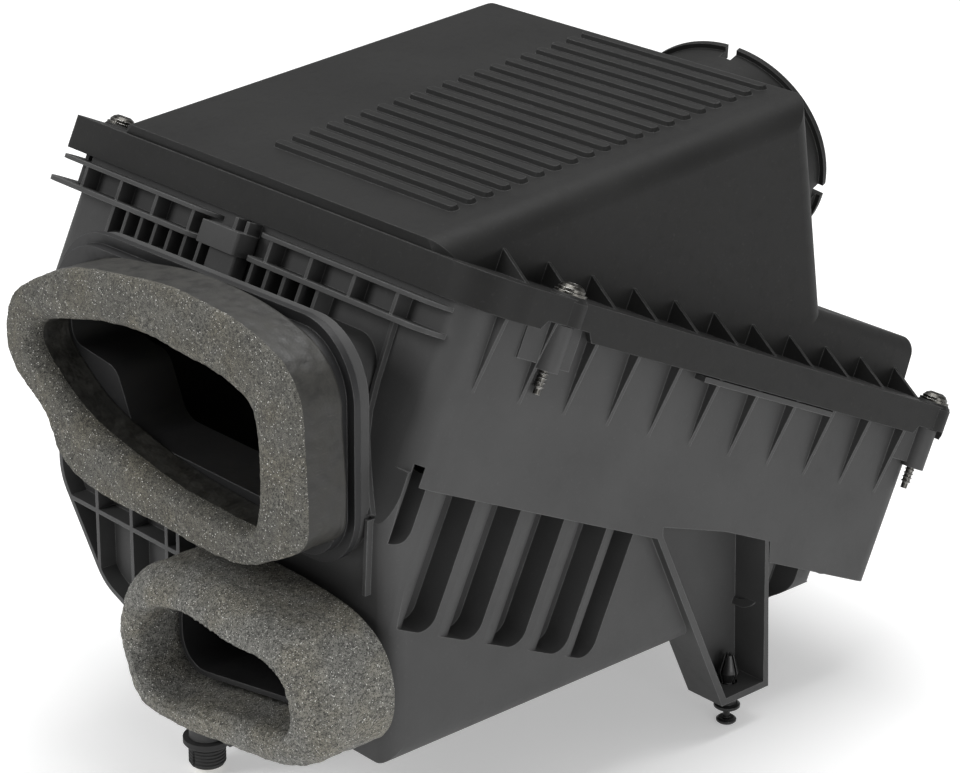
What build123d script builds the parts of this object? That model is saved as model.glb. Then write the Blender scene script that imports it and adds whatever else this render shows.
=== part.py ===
from build123d import *
from math import sin, cos, tan, radians
import os

os.makedirs("parts", exist_ok=True)

# ---------------------------------------------------------------- driving dimensions (mm)
TILT = 25.0              # joint plane falls this much toward the rear
FLANGE_Y = -90.0         # front edge of the joint plane
FLANGE_Z = 221.0
COVER_W = 300.0
COVER_L = 346.0
SKIRT_H = 16.0
WALL = 3.0
TRAY_HALF = 139.5        # outside of the filter chamber
TRAY_FRONT, TRAY_REAR = 4.2, 340.0
TRAY_L = TRAY_REAR - TRAY_FRONT
TRAY_MID = (TRAY_FRONT + TRAY_REAR) / 2
TRAY_DEPTH = 95.0
RIM_TOP = -3.3
RIM_HALF_GAP = 3.7       # rim edge to skirt edge
PLENUM_RIGHT = 135.0
LID_HALF = 116.5
LID_RISE = 4.9           # roof climbs this much toward the rear
SHOULDER_H = 26.5
GUSSET_PITCH = 29.5
RIDGE_COUNT = 20
RIDGE_PITCH = 10.25
INLET_FACE = -141.0      # front plane of the upper inlet box
PLENUM_FACE = -135.0     # front plane of the lower box
MOUNT_Z = -40.0          # underside of the bracket foot
OUTLET_R = 54.0
PEG_XY = (-2.7, -130.0)
PEG_SHOULDER_Z = -44.8
PEG_R = 8.9
CLIP_XY = (127.5, 88.0)
DRAIN_XY = (55.0, 40.0)
SCREWS = {
    "front_right": (142.0, 55.0),
    "front_left": (-142.0, 24.0),
    "rear_right": (142.0, 334.0),
    "rear_left": (-142.0, 334.0),
}

CT, ST = cos(radians(TILT)), sin(radians(TILT))
UP = (0, ST, CT)


# ---------------------------------------------------------------- datum planes
# The part's origin is on the locating peg's axis, at the underside of its collar.
# The box datum is the middle of the cover's width, at the level of the box floor.
def at(x, y, z):
    """Point of the part given from the box datum."""
    return (x - PEG_XY[0], y - PEG_XY[1], z - PEG_SHOULDER_Z)


level_plane = Plane(origin=at(0, 0, 0), x_dir=(1, 0, 0), z_dir=(0, 0, 1))
front_plane = Plane(origin=at(0, 0, 0), x_dir=(1, 0, 0), z_dir=(0, -1, 0))
side_plane = Plane(origin=at(0, 0, 0), x_dir=(0, 1, 0), z_dir=(1, 0, 0))
joint_plane = Plane(origin=at(0, FLANGE_Y, FLANGE_Z), x_dir=(1, 0, 0), z_dir=UP)


def tilted(yp, zp):
    """Side-view point (y, z) of a point given along and above the joint plane."""
    return (FLANGE_Y + yp * CT + zp * ST, FLANGE_Z - yp * ST + zp * CT)


def tilted_side(x):
    """Plane facing +X whose own axes run along and square to the joint plane."""
    return Plane(origin=at(x, FLANGE_Y, FLANGE_Z), x_dir=(0, CT, -ST), z_dir=(1, 0, 0))


def tilted_front(yp):
    """Plane facing forward, square to the joint plane."""
    return Plane(origin=at(0, *tilted(yp, 0)), x_dir=(1, 0, 0), z_dir=(0, -CT, ST))


def rounded_polygon(corners, grow=0.0):
    """Closed outline from (x, y, corner radius), grown or shrunk all round."""
    with BuildSketch() as outline:
        with BuildLine():
            Polyline(*[(x, y) for x, y, r in corners], close=True)
        make_face()
        for x, y, r in corners:
            fillet(outline.vertices().sort_by_distance((x, y, 0))[0], r)
        if grow:
            offset(amount=grow)
    return outline.sketch


def plate(plane, outline, amount, hole=None):
    """Flat plate of one outline, with an optional opening."""
    with BuildPart() as slab:
        with BuildSketch(plane):
            add(outline)
            if hole is not None:
                add(hole, mode=Mode.SUBTRACT)
        extrude(amount=amount)
    return slab.part


# ---------------------------------------------------------------- inlet outlines, seen from the front
UPPER_OUTER = [(125, 89, 30), (-38, 89, 22), (-60, 118, 18), (-91, 134, 18), (-91, 199, 44), (125, 203, 34)]
UPPER_INNER = [(95, 108, 14), (-30, 112, 16), (-44, 132, 14), (-74, 144, 12), (-74, 176, 16), (95, 176, 16)]
UPPER_BORE = [(92, 111, 10), (-24, 111, 12), (-37, 139, 10), (-71, 143, 8), (-71, 174, 14), (92, 174, 12)]
LOWER_OUTER = [(147, 12, 28), (1, -3, 28), (1, 77, 32), (147, 77, 30)]
LOWER_INNER = [(132, 30, 14), (21, 11, 20), (21, 64, 22), (132, 65, 21)]
LOWER_BORE = [(120, 36, 9), (28, 20, 14), (28, 58, 16), (120, 58, 11)]
CORNER_PANEL = [(-1, 3, 1), (-14, 3, 14), (-62, 20.5, 26), (-94.5, 66, 26), (-94.5, 86, 2), (-1, 86, 2)]
L = COVER_L
COVER_PLAN = [(150, 0, 26), (150, L, 12), (-150, L, 12), (-150, 0, 6)]
upper_outer = rounded_polygon(UPPER_OUTER)
upper_box_outline = rounded_polygon(UPPER_OUTER, -3)
upper_inner = rounded_polygon(UPPER_INNER)
upper_bore = rounded_polygon(UPPER_BORE)
upper_tongue = rounded_polygon(UPPER_BORE, 2.8)
upper_mouth = rounded_polygon(UPPER_BORE, 3.0)
upper_neck = rounded_polygon(UPPER_BORE, 6.5)
lower_outer = rounded_polygon(LOWER_OUTER)
lower_inner = rounded_polygon(LOWER_INNER)
lower_bore = rounded_polygon(LOWER_BORE)
lower_tube = rounded_polygon(LOWER_BORE, 2.5)
lower_mouth = rounded_polygon(LOWER_BORE, 2.7)
lower_pad = rounded_polygon(LOWER_BORE, 7)
panel_outer = rounded_polygon(CORNER_PANEL)
panel_inner = rounded_polygon(CORNER_PANEL, -2.4)
cover_plan = rounded_polygon(COVER_PLAN)
skirt_inside = rounded_polygon(COVER_PLAN, -3)
rim_plan = rounded_polygon(COVER_PLAN, -RIM_HALF_GAP)


# ---------------------------------------------------------------- lower housing
def chamber_box(inset, floor, top, corner):
    """Filter chamber block, square to the joint plane."""
    with BuildPart() as block:
        with BuildSketch(joint_plane.offset(floor)):
            with Locations((0, TRAY_MID)):
                RectangleRounded(2 * (TRAY_HALF - inset), TRAY_L - 2 * inset, corner)
        extrude(amount=top - floor)
    return block.part


def plenum_box(inset):
    """Lower box: level bottom, upright front, roof on the tilted chamber floor."""
    front = PLENUM_FACE + inset
    right = PLENUM_RIGHT - inset
    left = -95 + inset
    low = inset
    section = rounded_polygon([
        (right, low, 10), (-8, low, 30), (-62, 20 + low, 30), (left, 66 + low, 30),
        (left, 220, 4), (right, 220, 4),
    ])
    plan = rounded_polygon([(right, front, 9 - inset), (right, 260, 1), (left, 260, 1), (left, front, 1)])
    brow = FLANGE_Z - (TRAY_FRONT + inset) / ST + (front - FLANGE_Y) / tan(radians(TILT))
    with BuildPart() as block:
        with BuildSketch(side_plane.offset(left)):
            with BuildLine():
                Polyline(
                    (front, low), (153 - 3 * inset, low), tilted(316 - 2 * inset, -90),
                    tilted(TRAY_FRONT + inset, -90), (front, brow), close=True,
                )
            make_face()
        extrude(amount=right - left)
        with BuildSketch(front_plane.offset(-200)):
            add(section)
        extrude(amount=400, mode=Mode.INTERSECT)
        with BuildSketch(level_plane.offset(-10)):
            add(plan)
        extrude(amount=260, mode=Mode.INTERSECT)
    return block.part


def groove_block(far, bottom, top, width, grow):
    """One scalloped groove of the right wall: crisp far side, near side rolled up to the wall."""
    floor_x = PLENUM_RIGHT - 14 - grow
    near = far - width - grow
    face = PLENUM_RIGHT + (2 if grow == 0 else 0)
    tall = top - bottom + grow
    outline = rounded_polygon([
        (near - 1, bottom - grow, 1), (far + grow, bottom - grow, min(9, tall / 2)),
        (far + grow, top, 0.2), (near - 1, top, 0.2),
    ])
    with BuildPart() as block:
        with BuildSketch(joint_plane.offset(bottom - grow - 1)):
            with BuildLine():
                Line((face, far + grow), (floor_x, far + grow))
                Line((floor_x, far + grow), (floor_x, far - 0.28 * width))
                ThreePointArc(
                    (floor_x, far - 0.28 * width),
                    (PLENUM_RIGHT - 3.2 - 0.8 * grow, far - 0.56 * width - 0.6 * grow),
                    (PLENUM_RIGHT, near),
                )
                Polyline((PLENUM_RIGHT, near), (face, near - 0.5), (face, far + grow))
            make_face()
        extrude(amount=top - bottom + grow + 1)
        with BuildSketch(tilted_side(60)):
            add(outline)
        extrude(amount=120, mode=Mode.INTERSECT)
    return block.part


def recess_block(grow):
    """Hollow in the right wall that clears the mounting bracket."""
    face = PLENUM_RIGHT + (6 if grow == 0 else 0)
    depth = 117.0 - grow
    with BuildPart() as block:
        with BuildSketch(joint_plane.offset(-190)):
            with BuildLine():
                Polyline((face, 150 - grow), (depth, 150 - grow), (depth, 262), (face, 262), close=True)
            make_face()
        extrude(amount=105 + grow)
        with BuildSketch(side_plane.offset(60)):
            with BuildLine():
                Polyline(
                    (22 - grow, 70 + grow), (75, 51 + grow), (100, 60 + grow),
                    (100, -5), (56.9 - grow, -5), close=True,
                )
            make_face()
        extrude(amount=120, mode=Mode.INTERSECT)
    return block.part


def front_ribs(centres, out, z_low, z_high, thick):
    """Upright ribs standing on the front wall, square to the joint plane."""
    with BuildPart() as ribs:
        with BuildSketch(joint_plane.offset(z_low)):
            with Locations(*[(x, (6 - out) / 2) for x in centres]):
                Rectangle(thick, 6 + out)
        extrude(amount=z_high - z_low)
    return ribs.part


def side_gussets(root, reach, z_root, z_reach, first, count, thick):
    """Row of triangular plates on both side walls."""
    with BuildPart() as plates:
        for k in range(count):
            with BuildSketch(tilted_front(first + k * GUSSET_PITCH)):
                for s in (1, -1):
                    with BuildLine():
                        Polyline((s * root, z_reach), (s * reach, z_reach), (s * root, z_root), close=True)
                    make_face()
            extrude(amount=thick / 2, both=True)
    return plates.part


def corner_post(x, yp):
    """Post and block under one cover screw."""
    side = 1 if x > 0 else -1
    front, back = max(yp - 17, 8), min(yp + 11.5, 337)
    with BuildPart() as post:
        with BuildSketch(joint_plane.offset(-33)):
            with Locations((x, yp)):
                Circle(6.2)
        extrude(amount=33 + RIM_TOP)
        with BuildSketch(joint_plane.offset(-31)):
            with BuildLine():
                Polyline(
                    (side * 138, front), (side * 140.5, front), (side * 144, yp),
                    (side * 145.5, back), (side * 138, back), close=True,
                )
            make_face()
        extrude(amount=19)
    return post.part


GROOVES = [
    (48.8, -157, 28), (78.3, -157, 28), (107.6, -157, 28), (137.1, -157, 28), (156, -157, 17.5),
    (283.9, -114, 28), (313.5, -102, 28),
]
SHORT_GROOVE = (17.0, -122.0, 14.0)
RAIL_SPANS = [(-148, -26), (3, 129)]
RAIL_RIBS = [-121, -93.5, -66, -38.5, 18, 46, 75, 103]
SHORT_RIBS = [-92, -81, -70, -59, -48, -37, -26, 12, 23, 34.5, 46, 57]

chamber_outer = chamber_box(0, -TRAY_DEPTH, RIM_TOP - 1, 14)
chamber_inner = chamber_box(WALL, -TRAY_DEPTH + WALL, 5, 11)
plenum_outer = plenum_box(0)
plenum_inner = plenum_box(WALL)

root_outline = rounded_polygon([
    (-50, 100, 8), (-86, 112, 20), (-125, 138, 12), (-125, 179, 30), (-50, 180, 3),
])
nose_outline = rounded_polygon([
    (-50, 108, 3), (-64, 117, 10), (-88, 137, 12), (-88, 186, 30), (-50, 190, 3),
])
with BuildPart() as inlet_flare:
    with BuildSketch(front_plane.offset(100)):
        add(root_outline)
    with BuildSketch(front_plane.offset(-INLET_FACE - 4)):
        add(nose_outline)
    loft()

inlet_plate = plate(front_plane.offset(-INLET_FACE), upper_box_outline, -6)
inlet_neck = plate(front_plane.offset(-INLET_FACE), upper_neck, -48)


groove_cuts = [groove_block(far, low, -TRAY_DEPTH, width, 0) for far, low, width in GROOVES]
groove_cuts.append(groove_block(SHORT_GROOVE[0], SHORT_GROOVE[1], -86, SHORT_GROOVE[2], 0))
groove_cuts.append(recess_block(0))
groove_skins = [groove_block(far, low, -TRAY_DEPTH + 1, width, WALL) for far, low, width in GROOVES]
groove_skins.append(groove_block(SHORT_GROOVE[0], SHORT_GROOVE[1], -86 + WALL, SHORT_GROOVE[2], WALL))
groove_skins.append(recess_block(WALL))

with BuildPart() as pocket_walls:
    for skin in groove_skins:
        add(skin)
    add(plenum_outer, mode=Mode.INTERSECT)

with BuildPart() as bracket:
    with BuildSketch(side_plane.offset(117)):
        with BuildLine():
            Polyline((20, 69), (71.4, MOUNT_Z), (104, MOUNT_Z), (98, 52), (75, 60), (30, 78), close=True)
        make_face()
    extrude(amount=22.5)
    with BuildSketch(side_plane.offset(120)):
        with BuildLine():
            Polyline((26, 64), (74, MOUNT_Z + 3.5), (100.4, MOUNT_Z + 3.5), (94.6, 80), (26, 80), close=True)
        make_face()
    extrude(amount=22.5, mode=Mode.SUBTRACT)
    with BuildSketch(level_plane.offset(MOUNT_Z - 10)):
        with Locations(CLIP_XY):
            Circle(4.5)
    extrude(amount=20, mode=Mode.SUBTRACT)

corner_posts = [corner_post(x, yp) for x, yp in SCREWS.values()]
under_gussets = side_gussets(TRAY_HALF - 1, 146, -57, -9, 20, 11, 2.0)
rail_ribs = front_ribs(RAIL_RIBS, 4.5, -32, -20, 2.0)
short_ribs = front_ribs(SHORT_RIBS, 5.5, -46, -32, 2.0)
latch_ribs = front_ribs([-9, -1], 4, -23, -16.8, 2.0)

with BuildPart() as skirt_room:
    with BuildSketch(joint_plane.offset(-12.2)):
        with Locations((0, COVER_L / 2)):
            Rectangle(340, 390)
        add(rim_plan, mode=Mode.SUBTRACT)
    extrude(amount=20)

with BuildPart() as rim_details:
    with BuildSketch(joint_plane.offset(RIM_TOP - 6)):
        add(rim_plan)
    extrude(amount=6)
    for low, high, out in ((-21, -19.1, 5), (-32.8, -30.6, 9)):
        for x0, x1 in RAIL_SPANS:
            with BuildSketch(joint_plane.offset(low)):
                with Locations(((x0 + x1) / 2, 15 - out / 2)):
                    RectangleRounded(x1 - x0, 30 + out, 13)
            extrude(amount=high - low)
    with BuildSketch(joint_plane.offset(-33)):
        with Locations((-11.5, -3.5)):
            RectangleRounded(27, 13, 1.5)
    extrude(amount=10.5)
    with BuildSketch(joint_plane.offset(-46)):
        with Locations((-9, -2)):
            RectangleRounded(19, 9, 1.2)
    extrude(amount=14)
    with BuildSketch(joint_plane.offset(-19.5)):
        with Locations((TRAY_HALF + 2, 204), (-TRAY_HALF - 2, 204)):
            Rectangle(9, 98)
    extrude(amount=2.6)

lower_pad_plate = plate(front_plane.offset(128), lower_pad, 12)
panel_rim = plate(front_plane.offset(130), panel_outer, 14, panel_inner)

with BuildPart() as panel_details:
    with BuildSketch(front_plane.offset(130)):
        with Locations((-37, 57)):
            Rectangle(114, 2.2)
        with Locations(*[(x, 62) for x in (-65, -38, -11)]):
            Rectangle(2.2, 74)
        add(panel_outer, mode=Mode.INTERSECT)
    extrude(amount=14)
    # bead beside the upper inlet: down the leaning wall, then down the upright one
    with BuildSketch(tilted_front(8)):
        with BuildLine():
            Polyline(
                (98.5, -33), (99.5, -60), (101, -73), (104, -84), (109, -93), (117, -106), (122.5, -113.5),
                (124.5, -112.5), (119, -104.5), (111, -91.5), (106, -82.5), (103, -72.5), (101.5, -60),
                (100.5, -33), close=True,
            )
        make_face()
    extrude(amount=6.5)
    with BuildSketch(front_plane.offset(133)):
        with BuildLine():
            Polyline((122.4, 116), (120.5, 80), (122.5, 80), (124.4, 116), close=True)
        make_face()
    extrude(amount=5)

with BuildPart() as peg_post:
    with BuildSketch(level_plane.offset(PEG_SHOULDER_Z + 3.6)):
        with Locations(PEG_XY):
            Circle(8.5)
        with Locations((PEG_XY[0], PEG_XY[1] + 12)):
            Rectangle(3, 26)
        with Locations((PEG_XY[0], PEG_XY[1] + 2)):
            Rectangle(34, 3)
    extrude(amount=-PEG_SHOULDER_Z - 0.1)

with BuildPart() as seal_ledge:
    with BuildSketch(joint_plane.offset(-26)):
        with Locations((0, TRAY_MID)):
            RectangleRounded(2 * TRAY_HALF - 2, TRAY_L - 2, 13)
            RectangleRounded(2 * TRAY_HALF - 20, TRAY_L - 20, 4, mode=Mode.SUBTRACT)
    extrude(amount=3)

with BuildPart() as outer_details:
    add(rim_details.part)
    for detail in corner_posts:
        add(detail)
    add(under_gussets)
    add(rail_ribs)
    add(short_ribs)
    add(latch_ribs)
    add(skirt_room.part, mode=Mode.SUBTRACT)
    add(chamber_inner, mode=Mode.SUBTRACT)

with BuildPart() as lower_housing:
    add(chamber_outer)
    add(plenum_outer)
    add(inlet_plate)
    add(inlet_neck)
    add(inlet_flare.part)
    add(chamber_inner, mode=Mode.SUBTRACT)
    add(plenum_inner, mode=Mode.SUBTRACT)
    add(pocket_walls.part)
    add(seal_ledge.part)
    add(outer_details.part)
    add(lower_pad_plate)
    add(panel_rim)
    add(panel_details.part)
    add(peg_post.part)
    for cut in groove_cuts:
        add(cut, mode=Mode.SUBTRACT)
    add(bracket.part)
    # inlet openings
    with BuildSketch(front_plane.offset(-INLET_FACE + 5)):
        add(upper_mouth)
    extrude(amount=-72, mode=Mode.SUBTRACT)
    with BuildSketch(front_plane.offset(150)):
        add(lower_mouth)
    extrude(amount=-50, mode=Mode.SUBTRACT)
    # screw bores: clear below, insert pocket above, free passage at the top
    for radius, low, high in ((3.3, -40, 5), (4.55, -32, 5)):
        with BuildSketch(joint_plane.offset(low)):
            with Locations(*SCREWS.values()):
                Circle(radius)
        extrude(amount=high - low, mode=Mode.SUBTRACT)
    # drain hole and the peg's stem hole
    for centre, radius, low, high in (
        (DRAIN_XY, 8.1, -10, 10), (PEG_XY, 4.05, PEG_SHOULDER_Z + 1.6, PEG_SHOULDER_Z + 25.6),
    ):
        with BuildSketch(level_plane.offset(low)):
            with Locations(centre):
                Circle(radius)
        extrude(amount=high - low, mode=Mode.SUBTRACT)

lower_housing.part.label = "lower_housing"
export_step(lower_housing.part, "parts/lower_housing.step")


# ---------------------------------------------------------------- upper cover
def cover_wedge(inset, round_roof, round_rear):
    """Cover body above the joint plane: sloping roof, leaning rear wall, low rear shoulder."""
    roof = tan(radians(LID_RISE))
    half = LID_HALF - inset
    y0 = -88.0 + inset
    rear_y, rear_z = 141.0 - inset, 245.0 - inset
    knee = tilted(264 - inset, SHOULDER_H - inset)
    heel = tilted(338 - inset, SHOULDER_H - inset)
    foot = tilted(341 - inset, -3)
    with BuildPart() as wedge:
        with BuildSketch(side_plane.offset(-half)):
            with BuildLine():
                Polyline(
                    tilted(2.5 + inset, -3), (y0, 225.2 - inset + inset * roof), (rear_y, rear_z),
                    knee, heel, foot, close=True,
                )
            make_face()
        extrude(amount=2 * half)
        long_edges = []
        for s in (1, -1):
            long_edges.append(wedge.edges().sort_by_distance(at(s * half, 27, 235 - inset))[0])
            long_edges.append(wedge.edges().sort_by_distance(at(s * half, 150 - inset, 189))[0])
        fillet(long_edges, round_roof)
        corner_edges = []
        for s in (1, -1):
            middle = at(s * half, *tilted(305, SHOULDER_H - inset))
            corner_edges.append(wedge.edges().sort_by_distance(middle)[0])
        fillet(corner_edges, round_rear)
        with BuildSketch(joint_plane.offset(-10)):
            add(rounded_polygon([
                (half, inset, 14 - inset), (half, 350, 1), (-half, 350, 1), (-half, inset, 14 - inset),
            ]))
        extrude(amount=150, mode=Mode.INTERSECT)
    return wedge.part


def screw_lugs(radius, low, high, crown):
    """Round lugs of the cover rim at the four screws, bevelled at the top."""
    with BuildPart() as lugs:
        with BuildSketch(joint_plane.offset(low)):
            with Locations(*SCREWS.values()):
                Circle(radius)
        extrude(amount=high - low)
        with BuildSketch(joint_plane.offset(high)):
            with Locations(*SCREWS.values()):
                Circle(radius)
        extrude(amount=crown, taper=36)
    return lugs.part


wedge_outer = cover_wedge(0, 13, 8)
wedge_inner = cover_wedge(WALL, 10, 5)
cover_gussets = side_gussets(LID_HALF - 1, 136, 11, 0, 34.5, 11, 2.2)
lugs = screw_lugs(9.2, -15.5, -1.2, 2.4)

na, ne = radians(-14.5), radians(11.2)
outlet_plane = Plane(
    origin=at(16.8, 190.0, 188.3),
    x_dir=(-cos(na), sin(na), 0),
    z_dir=(sin(na) * cos(ne), cos(na) * cos(ne), sin(ne)),
)
roof_plane = Plane(
    origin=at(29.8, -88.0, 225.2),
    x_dir=(1, 0, 0),
    z_dir=(0, -sin(radians(LID_RISE)), cos(radians(LID_RISE))),
)

with BuildPart() as upper_cover:
    with BuildSketch(joint_plane.offset(-SKIRT_H)):
        add(cover_plan)
    extrude(amount=SKIRT_H)
    add(lugs)
    with BuildSketch(joint_plane.offset(-SKIRT_H)):
        add(skirt_inside)
        with Locations(*SCREWS.values()):
            Circle(6.6)
    extrude(amount=SKIRT_H - WALL, mode=Mode.SUBTRACT)
    add(wedge_outer)
    add(cover_gussets)
    # outlet socket through the rear wall
    with BuildSketch(outlet_plane.offset(-64)):
        Circle(OUTLET_R + 1.6)
    extrude(amount=40)
    # fins between the rear wall and the socket
    for angle in (52, 128):
        with BuildSketch(outlet_plane.offset(-50)):
            with Locations(Rot(0, 0, angle) * Pos(OUTLET_R + 5, 0)):
                Rectangle(14, 2.2)
        extrude(amount=26, taper=12)

with BuildPart() as inner_keep:
    with BuildSketch(outlet_plane.offset(-64)):
        Circle(OUTLET_R + 1.6)
    extrude(amount=40)

with BuildPart() as cover_cavity:
    add(wedge_inner)
    add(inner_keep.part, mode=Mode.SUBTRACT)

with BuildPart() as upper_cover_full:
    add(upper_cover.part)
    add(cover_cavity.part, mode=Mode.SUBTRACT)
    with BuildSketch(outlet_plane.offset(-70)):
        Circle(OUTLET_R - 2.0)
    extrude(amount=60, mode=Mode.SUBTRACT)
    # raised cooling-fin pattern of the roof
    with BuildSketch(roof_plane.offset(-0.4)):
        with Locations((0, 28.5 + RIDGE_PITCH * (RIDGE_COUNT - 1) / 2)):
            with GridLocations(10, RIDGE_PITCH, 1, RIDGE_COUNT):
                RectangleRounded(123.5, 6.4, 2.8)
    extrude(amount=2.7, taper=24)
    # notches of the skirt over the housing's screw blocks
    for x, yp in SCREWS.values():
        front, back = max(yp - 20, 6), min(yp + 15, 342.9)
        with BuildSketch(tilted_side(x * 1.03 - 6)):
            with BuildLine():
                Polyline(
                    (front, -SKIRT_H - 1), (back, -SKIRT_H - 1), (back - 4, -SKIRT_H + 4.2),
                    (front + 4, -SKIRT_H + 4.2), close=True,
                )
            make_face()
        extrude(amount=12, mode=Mode.SUBTRACT)
    with BuildSketch(joint_plane.offset(-4)):
        with Locations(*SCREWS.values()):
            Circle(2.5)
    extrude(amount=10, mode=Mode.SUBTRACT)

upper_cover_full.part.label = "upper_cover"
export_step(upper_cover_full.part, "parts/upper_cover.step")


# ---------------------------------------------------------------- inlets
bezel_flange = rounded_polygon(UPPER_OUTER, -1.2)
bezel_step = rounded_polygon(UPPER_OUTER, -6)
duct_collar = rounded_polygon(LOWER_BORE, 9)

with BuildPart() as inlet_bezel:
    for start, outline, thick in (
        (120, upper_tongue, 22), (141.1, bezel_flange, 3.4), (144, bezel_step, 5.8),
    ):
        with BuildSketch(front_plane.offset(start)):
            add(outline)
            add(upper_bore, mode=Mode.SUBTRACT)
        extrude(amount=thick)
inlet_bezel.part.label = "inlet_bezel"
export_step(inlet_bezel.part, "parts/inlet_bezel.step")

with BuildPart() as upper_inlet_foam:
    with BuildSketch(front_plane.offset(150)):
        add(upper_outer)
        add(upper_inner, mode=Mode.SUBTRACT)
    extrude(amount=23)
upper_inlet_foam.part.label = "upper_inlet_foam"
export_step(upper_inlet_foam.part, "parts/upper_inlet_foam.step")

with BuildPart() as lower_duct:
    for start, outline, thick in ((118, lower_tube, 47), (140.2, duct_collar, 2)):
        with BuildSketch(front_plane.offset(start)):
            add(outline)
            add(lower_bore, mode=Mode.SUBTRACT)
        extrude(amount=thick)
lower_duct.part.label = "lower_duct"
export_step(lower_duct.part, "parts/lower_duct.step")

with BuildPart() as lower_inlet_foam:
    with BuildSketch(front_plane.offset(142.4)):
        add(lower_outer)
        add(lower_inner, mode=Mode.SUBTRACT)
    extrude(amount=44.6)
lower_inlet_foam.part.label = "lower_inlet_foam"
export_step(lower_inlet_foam.part, "parts/lower_inlet_foam.step")


# ---------------------------------------------------------------- outlet
with BuildPart() as outlet_tube:
    for start, end, r_out, r_in in (
        (-62, -23, OUTLET_R - 2.2, OUTLET_R - 5),
        (-23.6, 0, OUTLET_R, OUTLET_R - 5),
        (-3, 0, OUTLET_R + 2.6, OUTLET_R - 5),
        (-33, -30.2, OUTLET_R - 4, OUTLET_R - 8),
    ):
        with BuildSketch(outlet_plane.offset(start)):
            Circle(r_out)
            Circle(r_in, mode=Mode.SUBTRACT)
        extrude(amount=end - start)
    # ring groove on the spigot
    with BuildSketch(outlet_plane.offset(-51.7)):
        Circle(OUTLET_R)
        Circle(OUTLET_R - 3.8, mode=Mode.SUBTRACT)
    extrude(amount=3.4, mode=Mode.SUBTRACT)
    # clamp slots in the rim
    with BuildSketch(outlet_plane.offset(-9)):
        with Locations(*[Rot(0, 0, a) * Pos(OUTLET_R, 0) for a in (8, 98, 194, 278)]):
            Rectangle(16, 6)
    extrude(amount=10, mode=Mode.SUBTRACT)
outlet_tube.part.label = "outlet_tube"
export_step(outlet_tube.part, "parts/outlet_tube.step")

with BuildPart(outlet_plane.offset(-50)) as outlet_o_ring:
    Torus(OUTLET_R - 2.9, 0.85)
outlet_o_ring.part.label = "outlet_o_ring"
export_step(outlet_o_ring.part, "parts/outlet_o_ring.step")

with BuildPart() as outlet_screen:
    with BuildSketch(outlet_plane.offset(-30)):
        with GridLocations(7.5, 0, 13, 1):
            Rectangle(1.1, 100)
        with GridLocations(0, 7.5, 1, 13):
            Rectangle(100, 1.1)
        Circle(OUTLET_R - 6, mode=Mode.INTERSECT)
    extrude(amount=3)
    with BuildSketch(outlet_plane.offset(-30)):
        Circle(OUTLET_R - 5.1)
        Circle(OUTLET_R - 8, mode=Mode.SUBTRACT)
    extrude(amount=3)
outlet_screen.part.label = "outlet_screen"
export_step(outlet_screen.part, "parts/outlet_screen.step")


# ---------------------------------------------------------------- filter element
PLEATS = 30
PLEAT_PITCH = 10.2
PLEAT_TOP, PLEAT_LOW = -8.0, -58.0

with BuildPart() as filter_seal:
    with BuildSketch(joint_plane.offset(-22.8)):
        with Locations((0, TRAY_MID)):
            RectangleRounded(272.4, TRAY_L - 6.6, 10.7)
            RectangleRounded(248, 309, 0.4, mode=Mode.SUBTRACT)
    extrude(amount=19.3)
filter_seal.part.label = "filter_seal"
export_step(filter_seal.part, "parts/filter_seal.step")

over, under = [], []
for k in range(PLEATS + 1):
    crest = TRAY_MID + (k - PLEATS / 2) * PLEAT_PITCH
    over += [(crest - 0.5, PLEAT_TOP), (crest + 0.5, PLEAT_TOP)]
    under += [(crest, PLEAT_TOP - 9)]
    if k < PLEATS:
        over.append((crest + PLEAT_PITCH / 2, PLEAT_LOW + 9))
        under += [(crest + PLEAT_PITCH / 2 - 0.5, PLEAT_LOW), (crest + PLEAT_PITCH / 2 + 0.5, PLEAT_LOW)]
under[0] = (under[0][0] - 0.5, PLEAT_TOP - 5)
under[-1] = (under[-1][0] + 0.5, PLEAT_TOP - 5)

with BuildPart() as filter_pleats:
    with BuildSketch(tilted_side(-123.8)):
        with BuildLine():
            Polyline(*over, *reversed(under), close=True)
        make_face()
    extrude(amount=247.6)
filter_pleats.part.label = "filter_pleats"
export_step(filter_pleats.part, "parts/filter_pleats.step")

with BuildPart() as filter_grid:
    with BuildSketch(joint_plane.offset(PLEAT_LOW - 2.2)):
        with Locations((0, TRAY_MID)):
            with GridLocations(27, 0, 9, 1):
                Rectangle(2, 306)
            with GridLocations(0, 30.4, 1, 11):
                Rectangle(244, 2)
            RectangleRounded(246, 308, 3)
            RectangleRounded(240, 302, 2, mode=Mode.SUBTRACT)
            with GridLocations(27, 0, 9, 1):
                Rectangle(2, 306)
            with GridLocations(0, 30.4, 1, 11):
                Rectangle(244, 2)
    extrude(amount=2)
filter_grid.part.label = "filter_grid"
export_step(filter_grid.part, "parts/filter_grid.step")


# ---------------------------------------------------------------- cover screws, washers, inserts
THREAD_TOP, THREAD_END, THREAD_TIP = -16.5, -41.0, -44.0
THREAD_PITCH = 2.0


def screw_profile():
    """Half section (radius, height) from the domed head down to the dog point."""
    points = [(0, 6.2), (3.2, 6.0), (5.0, 5.1), (5.9, 3.9), (6.3, 3.7), (6.3, 2.5), (2.3, 2.4)]
    points += [(2.3, THREAD_TOP), (1.9, THREAD_TOP - 0.4)]
    z = THREAD_TOP - 0.4
    while z - THREAD_PITCH > THREAD_END:
        points += [(1.9, z - 1.0), (2.5, z - 1.4), (2.5, z - 1.6), (1.9, z - THREAD_PITCH)]
        z -= THREAD_PITCH
    return points + [(1.9, THREAD_END), (1.6, THREAD_END - 0.3), (1.6, THREAD_TIP), (0, THREAD_TIP)]


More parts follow.
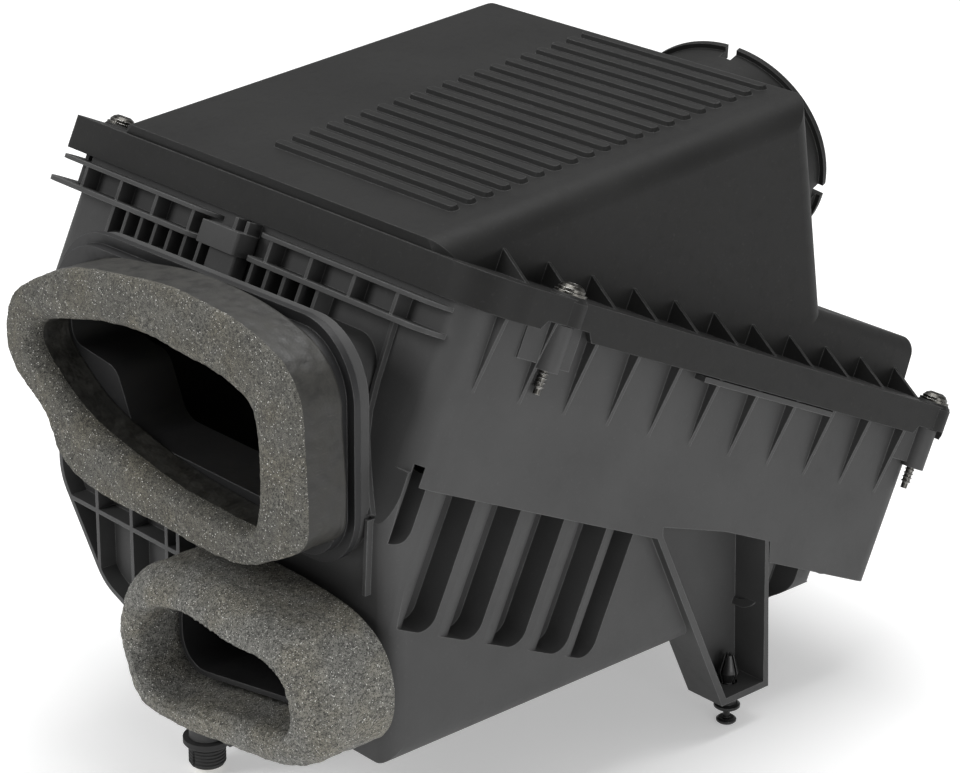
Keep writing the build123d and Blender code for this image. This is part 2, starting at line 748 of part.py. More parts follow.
def cover_screw(x, yp):
    middle = at(x, *tilted(yp, 0))
    with BuildPart() as screw:
        with BuildSketch(Plane(origin=middle, x_dir=(1, 0, 0), z_dir=(0, -CT, ST))):
            with BuildLine():
                Polyline(*screw_profile(), close=True)
            make_face()
        revolve(axis=Axis(middle, UP))
        with BuildSketch(joint_plane.offset(6.5)):
            with Locations((x, yp)):
                RegularPolygon(2.4, 6, rotation=30)
        extrude(amount=-2.3, mode=Mode.SUBTRACT)
    return screw.part


def screw_washer(x, yp):
    with BuildPart() as washer:
        with BuildSketch(joint_plane.offset(1.25)):
            with Locations((x, yp)):
                Circle(7.4)
                Circle(2.5, mode=Mode.SUBTRACT)
        extrude(amount=1.1)
    return washer.part


for corner, (x, yp) in SCREWS.items():
    screw = cover_screw(x, yp)
    screw.label = "cover_screw_" + corner
    export_step(screw, "parts/cover_screw_" + corner + ".step")
    washer = screw_washer(x, yp)
    washer.label = "screw_washer_" + corner
    export_step(washer, "parts/screw_washer_" + corner + ".step")

with BuildPart() as threaded_inserts:
    with BuildSketch(joint_plane.offset(-31.9)):
        with Locations(*SCREWS.values()):
            Circle(4.5)
            Circle(2.6, mode=Mode.SUBTRACT)
    extrude(amount=13.5)
threaded_inserts.part.label = "threaded_inserts"
export_step(threaded_inserts.part, "parts/threaded_inserts.step")


# ---------------------------------------------------------------- push rivet in the bracket foot
def upright(x, y):
    """Upright half-section plane whose axes are radius and height."""
    return Plane(origin=at(x, y, 0), x_dir=(1, 0, 0), z_dir=(0, -1, 0))


def upright_axis(x, y):
    return Axis(at(x, y, 0), (0, 0, 1))


with BuildPart() as rivet_body:
    with BuildSketch(upright(*CLIP_XY)):
        with BuildLine():
            Polyline(
                (1.75, -50.5), (5.8, -50.5), (6.5, -49.9), (6.5, -48.8), (5.2, -48), (4.3, -48), (4.3, -38),
                (3.3, -36.3), (5.2, -31), (4.9, -29.5), (2.3, -22), (1.75, -22), close=True,
            )
        make_face()
    revolve(axis=upright_axis(*CLIP_XY))
    with BuildSketch(level_plane.offset(-46)):
        with Locations(CLIP_XY):
            Rectangle(14, 1.3)
            Rectangle(1.3, 14)
    extrude(amount=30, mode=Mode.SUBTRACT)
rivet_body.part.label = "rivet_body"
export_step(rivet_body.part, "parts/rivet_body.step")

with BuildPart() as rivet_pin:
    with BuildSketch(upright(*CLIP_XY)):
        with BuildLine():
            Polyline(
                (0, -58.6), (4.2, -58.6), (5.0, -57.8), (5.0, -57), (3.8, -56), (1.7, -56),
                (1.7, -31.5), (0.9, -30.5), (0, -30.5), close=True,
            )
        make_face()
    revolve(axis=upright_axis(*CLIP_XY))
rivet_pin.part.label = "rivet_pin"
export_step(rivet_pin.part, "parts/rivet_pin.step")


# ---------------------------------------------------------------- locating peg and drain
shoulder = PEG_SHOULDER_Z
with BuildPart() as peg_core:
    with BuildSketch(upright(*PEG_XY)):
        with BuildLine():
            Polyline(
                (0, shoulder - 11.8), (6.7, shoulder - 11.8), (7.5, shoulder - 11.1), (6.3, shoulder - 11.1),
                (6.3, shoulder + 3.4), (4.0, shoulder + 3.4), (4.0, shoulder + 24.6), (3.4, shoulder + 25.2),
                (0, shoulder + 25.2), close=True,
            )
        make_face()
    revolve(axis=upright_axis(*PEG_XY))
peg_core.part.label = "peg_core"
export_step(peg_core.part, "parts/peg_core.step")

ribs = []
for k in range(6):
    z = shoulder - 1.75 * k
    ribs += [(PEG_R, z), (PEG_R, z - 0.7), (PEG_R - 0.5, z - 0.9), (PEG_R - 0.5, z - 1.55)]

with BuildPart() as peg_sleeve:
    with BuildSketch(upright(*PEG_XY)):
        with BuildLine():
            Polyline(
                (6.4, shoulder + 3.3), (11.4, shoulder + 3.3), (11.4, shoulder + 0.8), (10.8, shoulder),
                *ribs, (PEG_R - 0.8, shoulder - 10.9), (6.4, shoulder - 10.9), close=True,
            )
        make_face()
    revolve(axis=upright_axis(*PEG_XY))
    with BuildSketch(level_plane.offset(shoulder - 11)):
        with Locations((PEG_XY[0] + 1, PEG_XY[1] - 9), (PEG_XY[0] - 1, PEG_XY[1] + 9)):
            Rectangle(1.8, 2.2)
    extrude(amount=9, mode=Mode.SUBTRACT)
peg_sleeve.part.label = "peg_sleeve"
export_step(peg_sleeve.part, "parts/peg_sleeve.step")

with BuildPart() as drain_valve:
    with BuildSketch(upright(*DRAIN_XY)):
        with BuildLine():
            Polyline(
                (6.2, 5), (9.8, 5), (10.4, 4.4), (10.4, 3.1), (8.0, 3.1), (8.0, -0.2), (11, -0.2), (11, -2.2),
                (8.4, -2.2), (3.2, -15), (1.6, -15), (6.2, -3), close=True,
            )
        make_face()
    revolve(axis=upright_axis(*DRAIN_XY))
drain_valve.part.label = "drain_valve"
export_step(drain_valve.part, "parts/drain_valve.step")
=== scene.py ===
import math

import bpy
import numpy as np
from mathutils import Matrix, Vector, noise


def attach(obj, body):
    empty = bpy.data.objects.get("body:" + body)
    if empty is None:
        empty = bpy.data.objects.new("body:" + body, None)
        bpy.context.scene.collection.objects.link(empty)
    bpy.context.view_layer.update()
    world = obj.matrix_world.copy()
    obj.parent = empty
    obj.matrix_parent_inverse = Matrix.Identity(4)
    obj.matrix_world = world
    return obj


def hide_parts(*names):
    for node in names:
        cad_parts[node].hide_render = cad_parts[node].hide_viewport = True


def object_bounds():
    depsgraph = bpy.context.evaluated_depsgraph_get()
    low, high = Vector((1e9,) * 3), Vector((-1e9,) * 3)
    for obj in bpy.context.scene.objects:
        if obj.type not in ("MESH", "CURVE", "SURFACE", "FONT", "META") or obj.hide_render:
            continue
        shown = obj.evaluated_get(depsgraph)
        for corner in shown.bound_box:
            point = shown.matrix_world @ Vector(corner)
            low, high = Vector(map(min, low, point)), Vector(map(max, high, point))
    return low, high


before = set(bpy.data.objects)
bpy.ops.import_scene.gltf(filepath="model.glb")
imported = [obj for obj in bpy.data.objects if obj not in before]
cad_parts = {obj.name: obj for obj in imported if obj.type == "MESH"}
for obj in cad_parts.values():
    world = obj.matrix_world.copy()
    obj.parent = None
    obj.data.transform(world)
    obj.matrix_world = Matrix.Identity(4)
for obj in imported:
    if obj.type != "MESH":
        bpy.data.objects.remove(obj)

cad_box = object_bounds()

MM = 0.001
# The frame's origin is the locating peg's shoulder. The box datum is the middle of the cover's
# width at the level of the box floor, and the places below are given from it.
DATUM = Vector((2.7, 130.0, 44.8)) * MM


# ---------------------------------------------------------------- small node helpers
def new_material(name):
    material = bpy.data.materials.new(name)
    material.use_nodes = True
    tree = material.node_tree
    shader = tree.nodes["Principled BSDF"]
    place = tree.nodes.new("ShaderNodeTexCoord").outputs["Object"]
    return material, tree, shader, place


def node(tree, kind, **values):
    """Makes a node and sets its inputs or, where no input has that name, its settings."""
    made = tree.nodes.new(kind)
    for key, value in values.items():
        if key in made.inputs:
            made.inputs[key].default_value = value
        else:
            setattr(made, key, value)
    return made


def noise_value(tree, place, size_mm, detail=2.0, rough=0.5, output="Fac"):
    made = node(tree, "ShaderNodeTexNoise", Detail=detail, Roughness=rough)
    made.inputs["Scale"].default_value = 1.0 / (size_mm * MM)
    tree.links.new(place, made.inputs["Vector"])
    return made.outputs[output]


def voronoi(tree, place, size_mm, feature="F1", output="Distance"):
    made = node(tree, "ShaderNodeTexVoronoi", feature=feature)
    made.inputs["Scale"].default_value = 1.0 / (size_mm * MM)
    tree.links.new(place, made.inputs["Vector"])
    return made.outputs[output]


def channel(tree, colour, name):
    made = node(tree, "ShaderNodeSeparateColor")
    tree.links.new(colour, made.inputs["Color"])
    return made.outputs[name]


def remap(tree, value, span, out_span):
    """Maps span = (low, high) onto out_span, and clamps what falls outside."""
    made = node(tree, "ShaderNodeMapRange", clamp=True)
    for key, number in zip(("From Min", "From Max", "To Min", "To Max"), (*span, *out_span)):
        made.inputs[key].default_value = number
    tree.links.new(value, made.inputs["Value"])
    return made.outputs["Result"]


def math_node(tree, operation, a, b):
    made = node(tree, "ShaderNodeMath", operation=operation)
    for socket, value in zip(made.inputs, (a, b)):
        if isinstance(value, (int, float)):
            socket.default_value = value
        else:
            tree.links.new(value, socket)
    return made.outputs["Value"]


def mix_colour(tree, share, a, b):
    """Colour a where share is 0, colour b where it is 1."""
    made = node(tree, "ShaderNodeMix", data_type="RGBA")
    factor, first, second, result = made.inputs[0], made.inputs[6], made.inputs[7], made.outputs[2]
    tree.links.new(share, factor)
    for socket, value in ((first, a), (second, b)):
        if isinstance(value, tuple):
            socket.default_value = (*value, 1.0)
        else:
            tree.links.new(value, socket)
    return result


def bump(tree, height, distance_mm, strength, below=None):
    made = node(tree, "ShaderNodeBump")
    made.inputs["Distance"].default_value = distance_mm * MM
    made.inputs["Strength"].default_value = strength
    tree.links.new(height, made.inputs["Height"])
    if below is not None:
        tree.links.new(below, made.inputs["Normal"])
    return made.outputs["Normal"]


def edge_mask(tree, radius_mm):
    """1 on sharp edges, 0 on flat ground, with the rounded normal that goes with it."""
    flat_likeness, edge_likeness = 0.99, 0.9
    rounded = node(tree, "ShaderNodeBevel", samples=4)
    rounded.inputs["Radius"].default_value = radius_mm * MM
    flat = tree.nodes.new("ShaderNodeNewGeometry").outputs["Normal"]
    likeness = node(tree, "ShaderNodeVectorMath", operation="DOT_PRODUCT")
    tree.links.new(rounded.outputs["Normal"], likeness.inputs[0])
    tree.links.new(flat, likeness.inputs[1])
    mask = remap(tree, likeness.outputs["Value"], (flat_likeness, edge_likeness), (0.0, 1.0))
    return mask, rounded.outputs["Normal"]


def tint(colour, gain, lift=0.0):
    return tuple(c * gain + lift for c in colour)


def connect(tree, shader, colour, roughness, normal):
    for socket, value in (("Base Color", colour), ("Roughness", roughness), ("Normal", normal)):
        tree.links.new(value, shader.inputs[socket])


# ---------------------------------------------------------------- materials
def moulded_plastic(name, colour, rough, grain=0.10, gloss=0.36):
    """Satin moulded plastic: spark-eroded grain, faint flow marks, lighter edges that are partly scuffed
    wear and partly painted edge highlight.
    """
    material, tree, shader, place = new_material(name)
    mask, rounded = edge_mask(tree, radius_mm=0.6)
    flow = noise_value(tree, place, size_mm=55, detail=3)
    specks = noise_value(tree, place, size_mm=1.6, detail=2)
    scuffs = noise_value(tree, place, size_mm=7, detail=5, rough=0.7)
    wear_and_highlight_colour = tint(colour, 2.4, 0.11)
    base = mix_colour(tree, remap(tree, flow, (0.3, 0.7), (0, 1)), tint(colour, 0.82), tint(colour, 1.25))
    base = mix_colour(tree, remap(tree, specks, (0.62, 0.8), (0, 0.07)), base, wear_and_highlight_colour)
    # Edges turn lighter: partly scuffed wear, partly a painted highlight along the edge lines.
    edge_wear_and_highlight = math_node(tree, "MULTIPLY", mask, remap(tree, scuffs, (0.35, 0.65), (0.3, 0.8)))
    base = mix_colour(tree, edge_wear_and_highlight, base, wear_and_highlight_colour)
    roughness = math_node(
        tree, "ADD", remap(tree, flow, (0.25, 0.75), (rough - 0.05, rough + 0.05)),
        remap(tree, scuffs, (0.5, 0.75), (0.0, 0.09)),
    )
    grain_height = noise_value(tree, place, size_mm=0.55, detail=3, rough=0.6)
    normal = bump(tree, grain_height, distance_mm=0.12, strength=grain, below=rounded)
    connect(tree, shader, base, roughness, normal)
    shader.inputs["Specular IOR Level"].default_value = gloss
    return material


def rubber(name, colour, rough=0.7):
    """Dull rubber with dust in patches and slightly lighter edges."""
    material, tree, shader, place = new_material(name)
    mask, rounded = edge_mask(tree, radius_mm=0.4)
    dust = noise_value(tree, place, size_mm=3, detail=5, rough=0.65)
    grain = noise_value(tree, place, size_mm=0.8, detail=3)
    base = mix_colour(tree, remap(tree, dust, (0.45, 0.75), (0, 0.5)), colour, tint(colour, 2.2, 0.01))
    base = mix_colour(tree, math_node(tree, "MULTIPLY", mask, 0.35), base, tint(colour, 2.5, 0.015))
    roughness = remap(tree, dust, (0.3, 0.7), (rough - 0.08, rough + 0.1))
    normal = bump(tree, grain, distance_mm=0.1, strength=0.12, below=rounded)
    connect(tree, shader, base, roughness, normal)
    return material


def coated_steel(name, colour, rough, metal):
    """Black-coated fastener steel with a mottled coat and bright rubbed edges."""
    material, tree, shader, place = new_material(name)
    bare_steel = (0.72, 0.71, 0.68)
    mask, rounded = edge_mask(tree, radius_mm=0.35)
    blotch = noise_value(tree, place, size_mm=1.8, detail=4, rough=0.6)
    grain = noise_value(tree, place, size_mm=0.3, detail=2)
    base = mix_colour(tree, remap(tree, blotch, (0.4, 0.7), (0, 0.6)), colour, tint(colour, 2.6, 0.02))
    rub = math_node(tree, "MULTIPLY", mask, remap(tree, blotch, (0.3, 0.6), (0.3, 0.9)))
    base = mix_colour(tree, rub, base, bare_steel)
    roughness = remap(tree, blotch, (0.3, 0.7), (rough - 0.08, rough + 0.12))
    normal = bump(tree, grain, distance_mm=0.03, strength=0.25, below=rounded)
    connect(tree, shader, base, roughness, normal)
    shader.inputs["Metallic"].default_value = metal
    return material


def machined_brass():
    """Bright brass, tarnished in patches."""
    material, tree, shader, place = new_material("machined_brass")
    bright, dull = (0.62, 0.45, 0.18), (0.36, 0.24, 0.09)
    tarnish = noise_value(tree, place, size_mm=2.5, detail=4, rough=0.6)
    grain = noise_value(tree, place, size_mm=0.4, detail=2)
    base = mix_colour(tree, remap(tree, tarnish, (0.4, 0.7), (0, 1)), bright, dull)
    roughness = remap(tree, tarnish, (0.3, 0.7), (0.25, 0.5))
    connect(tree, shader, base, roughness, bump(tree, grain, distance_mm=0.03, strength=0.3))
    shader.inputs["Metallic"].default_value = 1.0
    return material


def pleated_paper():
    """Cream filter paper with visible fibres and greyer patches."""
    material, tree, shader, place = new_material("pleated_paper")
    cream, pale, grey = (0.74, 0.66, 0.47), (0.88, 0.83, 0.68), (0.58, 0.52, 0.4)
    fibres = noise_value(tree, place, size_mm=0.9, detail=5, rough=0.7)
    patches = noise_value(tree, place, size_mm=14, detail=3)
    base = mix_colour(tree, remap(tree, fibres, (0.35, 0.7), (0, 1)), cream, pale)
    base = mix_colour(tree, remap(tree, patches, (0.45, 0.7), (0, 0.35)), base, grey)
    tree.links.new(base, shader.inputs["Base Color"])
    tree.links.new(bump(tree, fibres, distance_mm=0.12, strength=0.5), shader.inputs["Normal"])
    shader.inputs["Roughness"].default_value = 0.92
    return material


def open_foam(name, strut, pore_shade_colour, cell_mm, glints):
    """Cut open-cell foam: pale struts round cells filled with painted shade, warm blotches and small painted
    glints.
    """
    material, tree, shader, place = new_material(name)
    painted_glint_colour = (0.8, 0.79, 0.75)
    shift = node(tree, "ShaderNodeVectorMath", operation="MULTIPLY_ADD")
    shift.inputs[1].default_value = (cell_mm * 0.4 * MM,) * 3
    tree.links.new(noise_value(tree, place, cell_mm * 1.4, output="Color"), shift.inputs[0])
    tree.links.new(place, shift.inputs[2])
    moved = shift.outputs["Vector"]
    cells = voronoi(tree, moved, cell_mm, "DISTANCE_TO_EDGE")
    small = voronoi(tree, moved, cell_mm * 0.55, "DISTANCE_TO_EDGE")
    # The cell hollows are painted shade: the near-black pore colour stands in for shade inside the pores.
    hole = math_node(
        tree, "ADD", remap(tree, cells, (0.05, 0.35), (0, 0.65)), remap(tree, small, (0.05, 0.4), (0, 0.35)),
    )
    blotch = noise_value(tree, place, size_mm=22, detail=3)
    fine = noise_value(tree, place, size_mm=4, detail=3)
    warm = tuple(c * f for c, f in zip(strut, (1.06, 1.01, 0.9)))
    pale = mix_colour(tree, remap(tree, blotch, (0.42, 0.66), (0, 0.9)), strut, warm)
    pale = mix_colour(tree, remap(tree, fine, (0.3, 0.7), (0, 0.35)), pale, pore_shade_colour)
    base = mix_colour(tree, hole, pale, pore_shade_colour)
    shade = channel(tree, voronoi(tree, moved, cell_mm, output="Color"), "Green")
    base = mix_colour(tree, remap(tree, shade, (0.15, 1.0), (0, 0.72)), base, pore_shade_colour)
    # Painted glints: a few random cells get a pale colour that stands in for small highlights on the struts.
    spark = channel(tree, voronoi(tree, place, cell_mm * 0.45, output="Color"), "Red")
    bright = remap(tree, spark, (1 - glints, 1 - glints * 0.4), (0, 0.8))
    base = mix_colour(tree, bright, base, painted_glint_colour)
    height = math_node(tree, "SUBTRACT", 1.0, hole)
    roughness = remap(tree, bright, (0, 1), (0.85, 0.25))
    connect(tree, shader, base, roughness, bump(tree, height, distance_mm=0.5, strength=0.8))
    return material


def foam_skin():
    """Darker moulded skin on a foam ring's sides: slightly shiny, with pale streaks and small pits."""
    material, tree, shader, place = new_material("foam_skin")
    dark, mid = (0.011, 0.0105, 0.009), (0.028, 0.027, 0.023)
    streak_colour, pit_colour = (0.08, 0.077, 0.066), (0.07, 0.07, 0.063)
    patches = noise_value(tree, place, size_mm=9, detail=4, rough=0.6)
    pits = voronoi(tree, place, size_mm=1.3)
    streak_place = node(tree, "ShaderNodeMapping")
    streak_place.inputs["Scale"].default_value = (1.0, 0.12, 1.0)
    tree.links.new(place, streak_place.inputs["Vector"])
    streaks = noise_value(tree, streak_place.outputs["Vector"], size_mm=1.1, detail=3, rough=0.7)
    base = mix_colour(tree, remap(tree, patches, (0.35, 0.7), (0, 1)), dark, mid)
    base = mix_colour(tree, remap(tree, streaks, (0.62, 0.75), (0, 0.4)), base, streak_colour)
    base = mix_colour(tree, remap(tree, pits, (0.0, 0.22), (0.3, 0.0)), base, pit_colour)
    roughness = remap(tree, patches, (0.3, 0.7), (0.42, 0.7))
    waves = noise_value(tree, place, size_mm=6, detail=4, rough=0.6)
    uneven = bump(tree, waves, distance_mm=0.7, strength=0.35)
    connect(tree, shader, base, roughness, bump(tree, pits, distance_mm=0.2, strength=0.25, below=uneven))
    return material


def paint(name, material):
    """Puts a material on a carried-over CAD piece."""
    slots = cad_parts[name].data.materials
    slots.clear()
    slots.append(material)


# ---------------------------------------------------------------- foam rings
def smooth_outline(corners, count):
    """Closed Catmull-Rom outline through (x, z) corners, as evenly spaced points."""
    per_span = 40
    points = np.array(corners, float)
    n = len(points)
    fine = []
    for k in range(n):
        p0, p1, p2, p3 = (points[(k + j) % n] for j in (-1, 0, 1, 2))
        for t in np.linspace(0, 1, per_span, endpoint=False):
            fine.append(0.5 * (
                2 * p1 + (p2 - p0) * t + (2 * p0 - 5 * p1 + 4 * p2 - p3) * t * t
                + (3 * p1 - p0 - 3 * p2 + p3) * t ** 3
            ))
    fine = np.array(fine + [fine[0]])
    run = np.concatenate([[0], np.cumsum(np.linalg.norm(np.diff(fine, axis=0), axis=1))])
    even = np.linspace(0, run[-1], count, endpoint=False)
    return np.stack([np.interp(even, run, fine[:, 0]), np.interp(even, run, fine[:, 1])], axis=1)


def ring_section(width, depth, outer_round, inner_round, steps):
    """Section of a foam ring as (distance in from the outside, height above the back)."""
    side, front, inside, back = steps
    flat = width - outer_round - inner_round
    outer_arc, inner_arc = outer_round * math.pi / 2, inner_round * math.pi / 2
    section = []
    for t in np.linspace(0, 1, side, endpoint=False):
        section.append((0.0, t * (depth - outer_round)))
    for t in np.linspace(0, 1, front, endpoint=False):
        s = t * (outer_arc + flat + inner_arc)
        if s < outer_arc:
            angle = s / outer_round
            section.append((
                outer_round * (1 - math.cos(angle)),
                depth - outer_round * (1 - math.sin(angle)),
            ))
        elif s < outer_arc + flat:
            section.append((outer_round + s - outer_arc, depth))
        else:
            angle = (s - outer_arc - flat) / inner_round
            section.append((
                width - inner_round + inner_round * math.sin(angle),
                depth - inner_round * (1 - math.cos(angle)),
            ))
    for t in np.linspace(0, 1, inside, endpoint=False):
        section.append((width, (1 - t) * (depth - inner_round)))
    for t in np.linspace(0, 1, back, endpoint=False):
        section.append((width * (1 - t), 0.0))
    return np.array(section)


def ring_points(outer, inner, front_y, back_y, rounds, steps, around, crown):
    """Points of a closed ring between two outlines, as (step around, step along section, xyz)."""
    outside = smooth_outline(outer, around)
    inside = smooth_outline(inner, around)
    across = np.linalg.norm(inside - outside, axis=1)
    depth = back_y - front_y
    rows = []
    for k in range(around):
        section = ring_section(across[k], depth, *rounds, steps)
        share = section[:, :1] / across[k]
        flat = outside[k] * (1 - share) + inside[k] * share
        swell = crown * np.sin(math.pi * share[:, 0]) * (section[:, 1] > depth * 0.5)
        rows.append(np.stack([flat[:, 0], back_y - section[:, 1] - swell, flat[:, 1]], axis=1))
    return np.array(rows)


def ring_faces(around, per_ring):
    faces = []
    for k in range(around):
        here, there = k * per_ring, ((k + 1) % around) * per_ring
        for j in range(per_ring):
            up = (j + 1) % per_ring
            faces.append((here + j, here + up, there + up, there + j))
    return faces


def roughen(mesh, lumps, per_ring, steps):
    """Moves each point along its normal: broad waves, small lumps, and fine pits where the foam is cut."""
    wave_mm, lump_mm, cell_mm, fine_cell_mm, fine_share = 24, 4.5, 1.1, 0.6, 0.6
    wave, lump, cell = lumps
    side, back_from = steps[0], sum(steps[:3])
    count = len(mesh.vertices)
    places, normals = np.zeros(count * 3), np.zeros(count * 3)
    mesh.vertices.foreach_get("co", places)
    mesh.vertices.foreach_get("normal", normals)
    places, normals = places.reshape(-1, 3), normals.reshape(-1, 3)
    rises = np.zeros(count)
    for k in range(count):
        j = k % per_ring
        if j == 0 or j >= back_from:
            continue
        place = Vector(places[k]) / MM
        rises[k] = wave * noise.noise(place / wave_mm) + lump * noise.noise(place / lump_mm)
        if j >= side:
            fine = fine_share * noise.noise(place / fine_cell_mm)
            rises[k] += cell * (noise.noise(place / cell_mm) + fine)
    places += normals * rises[:, None] * MM
    mesh.vertices.foreach_set("co", places.ravel())
    mesh.update()


def foam_ring(name, outer, inner, front_y, back_y, rounds, steps, around, crown, lumps, materials):
    """Closed foam ring between two outlines, roughened like cut foam. A second material is its skin.

    rounds are the radii of the outer and inner front edges, steps the points on the outer side,
    front, inner side and back of the section, and lumps the heights of waves, lumps and cells.
    """
    points = ring_points(outer, inner, front_y, back_y, rounds, steps, around, crown)
    per_ring = points.shape[1]
    mesh = bpy.data.meshes.new(name)
    corners = points.reshape(-1, 3) * MM + np.array(DATUM)
    mesh.from_pydata(corners.tolist(), [], ring_faces(around, per_ring))
    mesh.update()
    roughen(mesh, lumps, per_ring, steps)
    side, front = steps[:2]
    cut_face = range(side - 1, side + front + 2)
    skinned = len(materials) > 1
    for polygon in mesh.polygons:
        polygon.use_smooth = True
        if skinned and polygon.index % per_ring not in cut_face:
            polygon.material_index = 1
    for material in materials:
        mesh.materials.append(material)
    ring = bpy.data.objects.new(name, mesh)
    bpy.context.scene.collection.objects.link(ring)
    return ring


UPPER_OUTER = [
    (-91, 148), (-81, 170), (-44, 190), (-6, 198), (30, 203), (72, 202), (105, 194), (120, 179),
    (123, 158), (125, 127), (121, 112), (102, 100), (83, 91), (55, 89), (14, 89), (-28, 90),
    (-51, 98), (-63, 116), (-84, 131),
]
UPPER_INNER = [
    (-72, 146), (-66, 158), (-30, 169), (5, 174), (40, 174), (77, 170), (89, 160), (91, 138),
    (90, 117), (82, 107), (47, 107), (19, 109), (-11, 114), (-37, 121), (-57, 132),
]
LOWER_OUTER = [
    (1.5, 30), (3, 48), (12, 64), (30, 74), (62, 77.5), (97, 77), (124, 73), (141, 62),
    (147, 43), (141, 24), (118, 10), (80, 3.5), (44, -1), (16, 3),
]
LOWER_INNER = [
    (20.5, 33), (24, 48), (38, 58), (62, 62), (88, 64), (110, 64), (127, 57), (131, 43),
    (126, 32), (98, 26), (67, 20), (40, 14), (25, 19),
]

foam_light = open_foam(
    "foam_light", strut=(0.205, 0.2, 0.175), pore_shade_colour=(0.016, 0.0155, 0.014), cell_mm=0.9, glints=0.022,
)
foam_dark = open_foam(
    "foam_dark", strut=(0.31, 0.307, 0.28), pore_shade_colour=(0.015, 0.015, 0.0135), cell_mm=0.85, glints=0.03,
)
upper_ring = foam_ring(
    "upper_inlet_foam_ring", UPPER_OUTER, UPPER_INNER, front_y=-172.6, back_y=-150.0,
    rounds=(1.6, 7.0), steps=(24, 46, 24, 16), around=620, crown=0.4, lumps=(0.7, 0.35, 0.22),
    materials=[foam_light, foam_skin()],
)
lower_ring = foam_ring(
    "lower_inlet_foam_ring", LOWER_OUTER, LOWER_INNER, front_y=-186.6, back_y=-142.4,
    rounds=(16.0, 6.0), steps=(36, 52, 44, 14), around=440, crown=0.5, lumps=(0.8, 0.45, 0.3),
    materials=[foam_dark],
)
for ring, cad_node, slot in (
    (upper_ring, "upper_inlet_foam", "inlet_foam_light"),
    (lower_ring, "lower_inlet_foam", "inlet_foam_dark"),
):
    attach(ring, "housing")
    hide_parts(cad_node)


# ---------------------------------------------------------------- materials of the carried-over pieces
housing_plastic = moulded_plastic("housing_plastic", (0.046, 0.046, 0.046), 0.6)
cover_plastic = moulded_plastic("cover_plastic", (0.0135, 0.0135, 0.0132), 0.58, grain=0.4, gloss=0.2)
bezel_plastic = moulded_plastic("bezel_plastic", (0.012, 0.012, 0.0125), 0.5)
soft_black = rubber("soft_black", (0.016, 0.016, 0.016))
fastener = coated_steel("fastener", (0.055, 0.053, 0.048), rough=0.3, metal=0.95)
FINISHES = {
    "lower_housing": housing_plastic,
    "upper_cover": cover_plastic,
    "inlet_bezel": bezel_plastic,
    "lower_duct": bezel_plastic,
    "outlet_tube": cover_plastic,
    "outlet_screen": bezel_plastic,
    "outlet_o_ring": soft_black,
    "filter_seal": rubber("filter_rubber", (0.03, 0.03, 0.032), 0.62),
    "filter_pleats": pleated_paper(),
    "filter_grid": bezel_plastic,
    "threaded_inserts": machined_brass(),
    "rivet_body": moulded_plastic("rivet_plastic", (0.012, 0.012, 0.012), 0.33, grain=0.04),
    "rivet_pin": moulded_plastic("rivet_pin_plastic", (0.012, 0.012, 0.012), 0.28, grain=0.04),
    "peg_core": moulded_plastic("peg_plastic", (0.33, 0.31, 0.26), 0.5),
    "peg_sleeve": soft_black,
    "drain_valve": soft_black,
}
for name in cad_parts:
    if name.startswith(("cover_screw", "screw_washer")):
        FINISHES[name] = fastener
for name, material in FINISHES.items():
    paint(name, material)


# ---------------------------------------------------------------- floor, light and camera
FLOOR_REACH = 12.0
FLOOR_GLOW = 0.32
SKY_LIGHT, SKY_SEEN = 0.38, 1.0
WHITE = (1, 1, 1, 1)
LAMPS = {  # name: place in metres, width and height in metres, watts
    "front": ((-0.9, -1.8, 1.6), (1.0, 1.0), 24),
    "side": ((2.2, -0.3, 0.35), (1.2, 0.6), 13),
    "top": ((-0.1, 0.5, 2.2), (1.5, 1.5), 40),
}
AZIMUTH, ELEVATION, ROLL = math.radians(47.33), math.radians(22.21), math.radians(0.75)
CAMERA_PLACE = Vector((998.3, -876.4, 644.3)) * MM + DATUM
LENS_MM, SENSOR_MM = 112.3, 36.0
SHIFT_X, SHIFT_Y = -0.0074, 0.0004
CLIP_END = 60


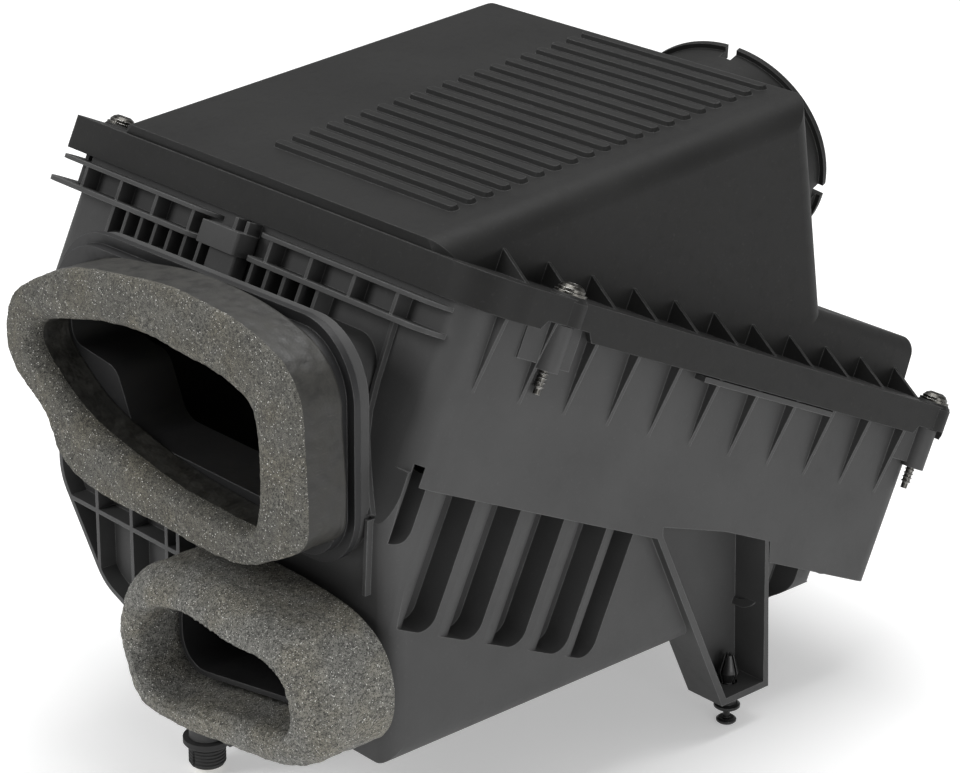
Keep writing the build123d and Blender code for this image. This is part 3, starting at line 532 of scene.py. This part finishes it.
def pale_floor(level):
    """Wide pale floor. It glows a little, so that it stays pale under lamps set for dark plastic."""
    material, _, shader, _ = new_material("pale_floor")
    shader.inputs["Base Color"].default_value = (0.86, 0.86, 0.86, 1)
    shader.inputs["Roughness"].default_value = 0.9
    shader.inputs["Emission Color"].default_value = WHITE
    shader.inputs["Emission Strength"].default_value = FLOOR_GLOW
    mesh = bpy.data.meshes.new("floor")
    corners = [(FLOOR_REACH * x, FLOOR_REACH * y, level) for x, y in ((-1, -1), (1, -1), (1, 1), (-1, 1))]
    mesh.from_pydata(corners, [], [(0, 1, 2, 3)])
    mesh.materials.append(material)
    floor = bpy.data.objects.new("floor", mesh)
    bpy.context.scene.collection.objects.link(floor)


def studio_sky():
    """The sky looks white, but sheds little light: the dark plastic is shaped by the lamps."""
    world = bpy.data.worlds.new("studio")
    world.use_nodes = True
    tree = world.node_tree
    backdrop = tree.nodes["Background"]
    backdrop.inputs["Color"].default_value = WHITE
    seen = tree.nodes.new("ShaderNodeLightPath").outputs["Is Camera Ray"]
    tree.links.new(remap(tree, seen, (0, 1), (SKY_LIGHT, SKY_SEEN)), backdrop.inputs["Strength"])
    bpy.context.scene.world = world


def area_light(name, place, aim, size, power):
    data = bpy.data.lights.new(name, "AREA")
    data.shape = "RECTANGLE"
    data.size, data.size_y = size
    data.energy = power
    lamp = bpy.data.objects.new(name, data)
    lamp.location = place
    lamp.rotation_mode = "QUATERNION"
    lamp.rotation_quaternion = (Vector(aim) - Vector(place)).to_track_quat("-Z", "Y")
    bpy.context.scene.collection.objects.link(lamp)


def long_lens_camera():
    """Camera far off the front right corner, looking slightly down, with a slight roll."""
    data = bpy.data.cameras.new("camera")
    data.lens = LENS_MM
    data.sensor_width = SENSOR_MM
    data.shift_x, data.shift_y = SHIFT_X, SHIFT_Y
    data.clip_end = CLIP_END
    camera = bpy.data.objects.new("camera", data)
    level = math.cos(ELEVATION)
    back = Vector((math.sin(AZIMUTH) * level, -math.cos(AZIMUTH) * level, math.sin(ELEVATION)))
    right = Vector((math.cos(AZIMUTH), math.sin(AZIMUTH), 0))
    upward = back.cross(right)
    rolled_right = right * math.cos(ROLL) + upward * math.sin(ROLL)
    rolled_up = back.cross(rolled_right)
    turn = Matrix((rolled_right, rolled_up, back)).transposed().to_4x4()
    camera.matrix_world = Matrix.Translation(CAMERA_PLACE) @ turn
    bpy.context.scene.collection.objects.link(camera)
    bpy.context.scene.camera = camera


low, high = cad_box
middle = (low + high) / 2
pale_floor(low.z)
studio_sky()
for name, (place, size, power) in LAMPS.items():
    area_light(name, place, middle, size, power)
long_lens_camera()
bpy.context.scene.view_settings.view_transform = "Standard"
